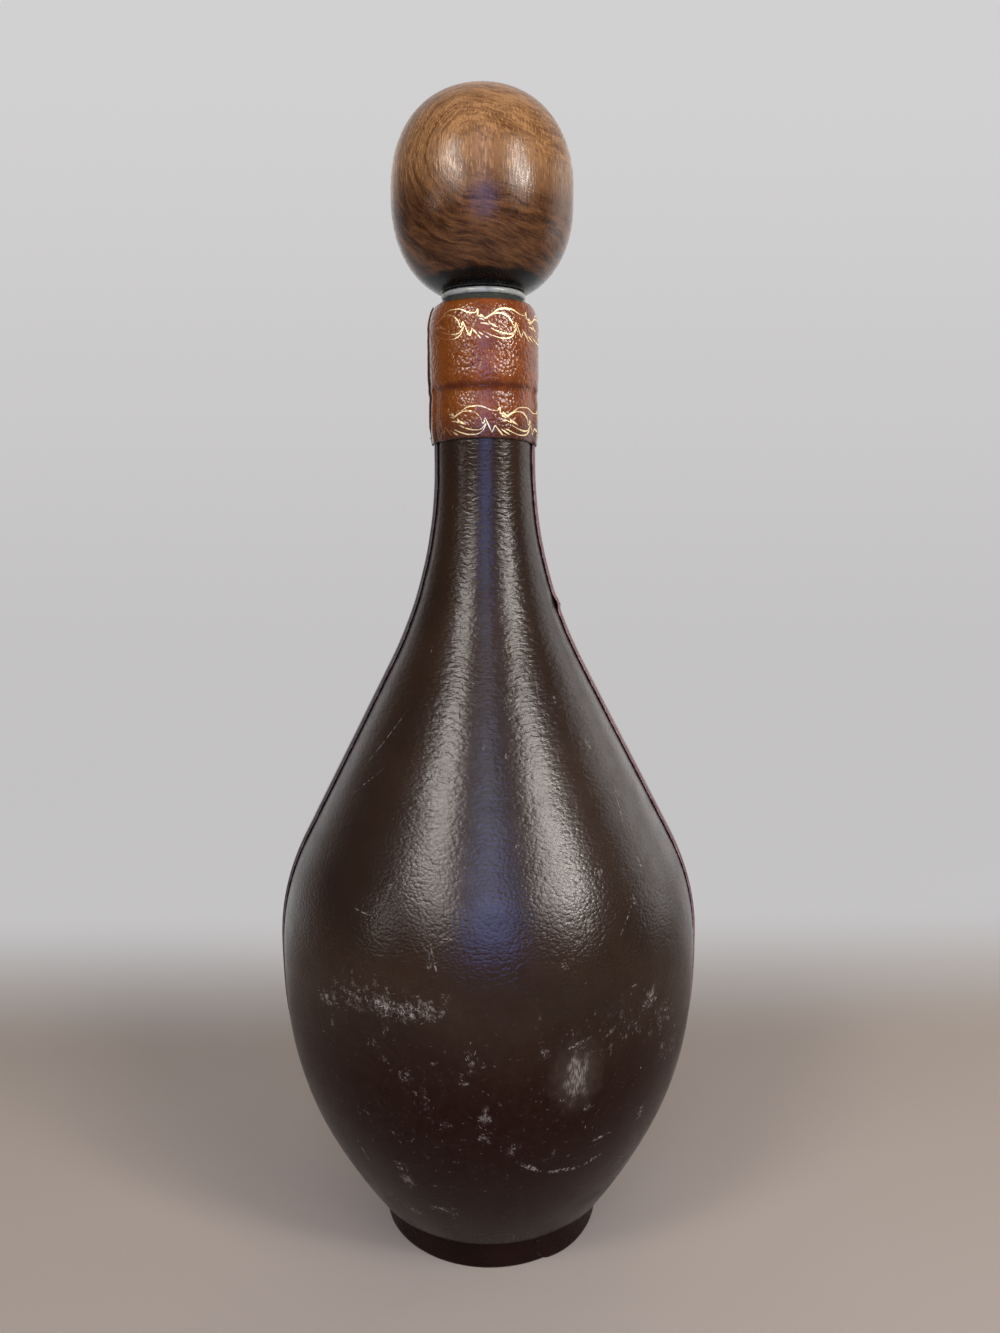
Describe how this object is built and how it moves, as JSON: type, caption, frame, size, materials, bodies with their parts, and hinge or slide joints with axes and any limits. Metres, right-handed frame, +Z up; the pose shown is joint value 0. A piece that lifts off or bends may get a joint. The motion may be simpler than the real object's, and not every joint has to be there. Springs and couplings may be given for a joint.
{
  "type": "leather-wrapped decanter",
  "caption": "Tall glass decanter with a narrow foot, wide belly and long neck, wrapped in glued leather with a gold-tooled collar and closed by a lift-out wooden ball stopper.",
  "frame": {"origin": "centre of the underside, on the surface that the decanter stands on", "axes": "+Z up along the bottle's axis, -Y towards the dark front panel, +X to the right seen from the front"},
  "size_m": [0.1218, 0.12, 0.3206],
  "materials": {
    "glass": "gloss, dark green-grey",
    "dark_leather": "semi-gloss, grained, scuffed",
    "red_leather": "semi-gloss, grained",
    "cognac_leather": "semi-gloss, gold-tooled borders",
    "gold_foil": "pressed foil, worn",
    "grey_plastic": "satin",
    "turned_wood": "satin varnish, dark figure",
    "pale_wood": "bare",
    "cork": "bare cork"
  },
  "bodies": {
    "bottle": {"glass_bottle": "glass", "front_panel": "dark_leather", "rear_panel": "red_leather", "neck_collar": "cognac_leather", "foot_band": "dark_leather", "base_disc": "dark_leather"},
    "ring": {"stopper_ring": "grey_plastic"},
    "stopper": {"stopper_ball": "turned_wood", "stopper_dowel": "pale_wood", "cork_plug": "cork"}
  },
  "joints": [
    {"name": "stopper_lift", "type": "slide", "parent": "bottle", "child": "ring", "axis": [0, 0, 1], "range_m": [0, 0.08]},
    {"name": "stopper_twist", "type": "hinge", "parent": "ring", "child": "stopper", "pos_m": [0, 0, 0.2679], "axis": [0, 0, 1], "continuous": true}
  ]
}
